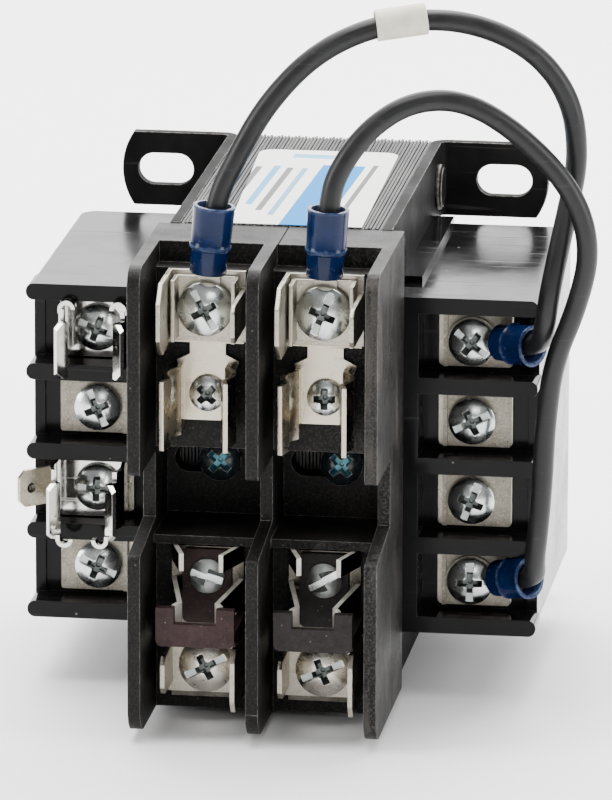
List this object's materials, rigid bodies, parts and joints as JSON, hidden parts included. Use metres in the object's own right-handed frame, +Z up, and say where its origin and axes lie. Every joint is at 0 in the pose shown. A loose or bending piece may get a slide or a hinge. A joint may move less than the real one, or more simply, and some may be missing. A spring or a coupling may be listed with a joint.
{
  "type": "electrical transformer",
  "caption": "Industrial control transformer: laminated core with slotted mounting ears, side terminal strips, a front fuse block with spring clips, and jumper leads with crimp lugs",
  "frame": {"origin": "centre of the four mounting slots, on the mounting plane at the back of the ears", "axes": "X to the right seen from the fuse-block side, Y from the fuse block to the mounting plane, Z up; metres"},
  "size_m": [0.0983, 0.1013, 0.1215],
  "materials": {
    "core_steel": "varnished lamination edges",
    "black_paint": "gloss black paint",
    "coil_plastic": "moulded",
    "copper": "enamelled copper wire",
    "insulation_paper": "plain",
    "gloss_black": "glossy moulded",
    "matte_black": "fine-textured moulded",
    "nickel": "nickel plate",
    "zinc": "bright zinc plate",
    "dark_zinc": "dark plate",
    "brown_phenolic": "pressed phenolic",
    "dark_phenolic": "pressed phenolic",
    "blue_sleeve": "moulded sleeve",
    "lead_insulation": "wire insulation",
    "marker_tape": "plain"
  },
  "bodies": {
    "root": {"core_stack": "core_steel", "bracket_left": "black_paint", "bracket_right": "black_paint", "core_rivets": "black_paint", "coil_former": "coil_plastic", "primary_winding": "copper", "winding_insulation": "insulation_paper", "secondary_winding": "copper", "coil_cover_left": "gloss_black", "coil_cover_right": "gloss_black", "terminal_strip_left": "gloss_black", "terminal_strip_right": "gloss_black", "terminal_plates_left": "nickel", "terminal_plates_right": "nickel", "wire_clamps_left": "nickel", "wire_clamps_right": "nickel", "terminal_screws_left": "zinc", "terminal_screws_right": "zinc", "strip_clip_upper": "nickel", "strip_clip_lower": "nickel", "push_on_tab": "nickel", "fuse_block": "matte_black", "block_screws": "dark_zinc", "line_clip_left": "nickel", "line_clip_right": "nickel", "line_tabs_left": "nickel", "line_tabs_right": "nickel", "line_saddle_left": "nickel", "line_saddle_right": "nickel", "line_screws": "zinc", "line_clip_screws": "zinc", "load_clip_left": "nickel", "load_clip_right": "nickel", "load_tabs_left": "nickel", "load_tabs_right": "nickel", "load_screws": "zinc", "load_clip_screws": "zinc", "rejection_plate_left": "brown_phenolic", "rejection_plate_right": "dark_phenolic", "lug_line_left": "nickel", "lug_line_right": "nickel", "lug_strip_upper": "nickel", "lug_strip_lower": "nickel", "sleeve_line_left": "blue_sleeve", "sleeve_line_right": "blue_sleeve", "sleeve_strip_upper": "blue_sleeve", "sleeve_strip_lower": "blue_sleeve", "lead_outer": "lead_insulation", "lead_inner": "lead_insulation", "wire_marker": "marker_tape"}
  },
  "joints": []
}
